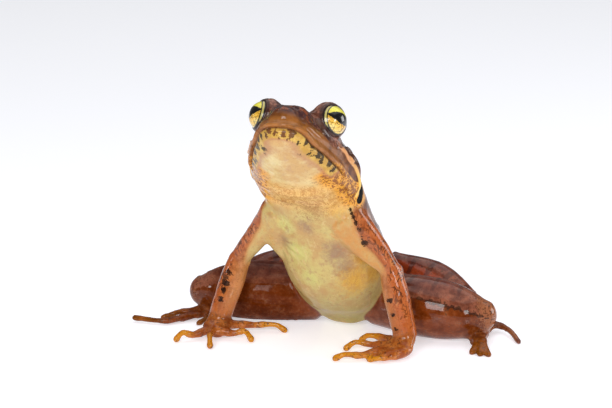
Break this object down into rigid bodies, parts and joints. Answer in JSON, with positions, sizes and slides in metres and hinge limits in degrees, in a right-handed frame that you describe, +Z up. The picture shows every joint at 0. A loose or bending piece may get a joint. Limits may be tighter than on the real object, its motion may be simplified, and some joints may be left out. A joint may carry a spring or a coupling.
{
  "type": "common frog",
  "caption": "Life-size common frog sitting up on its front legs, head raised, thighs spread along the floor and shanks folded back against them.",
  "frame": {"origin": "on the floor under the rump, on the middle plane of the trunk", "axes": "+Z up; the frog faces -Y and its left side is +X"},
  "size_m": [0.0916, 0.0606, 0.0607],
  "materials": {
    "skin": "moist, satin to glossy, red-brown above and pale yellow below",
    "eye": "wet gloss, gold iris with a flat black pupil"
  },
  "bodies": {
    "root": {"head": "skin", "eye_left": "eye", "eye_right": "eye", "trunk": "skin", "upper_arm_left": "skin", "upper_arm_right": "skin", "forearm_left": "skin", "forearm_right": "skin", "hand_left": "skin", "hand_right": "skin", "thigh_left": "skin", "thigh_right": "skin", "shank_left": "skin", "shank_right": "skin", "tarsus_left": "skin", "tarsus_right": "skin", "foot_left": "skin", "foot_right": "skin"}
  },
  "joints": []
}
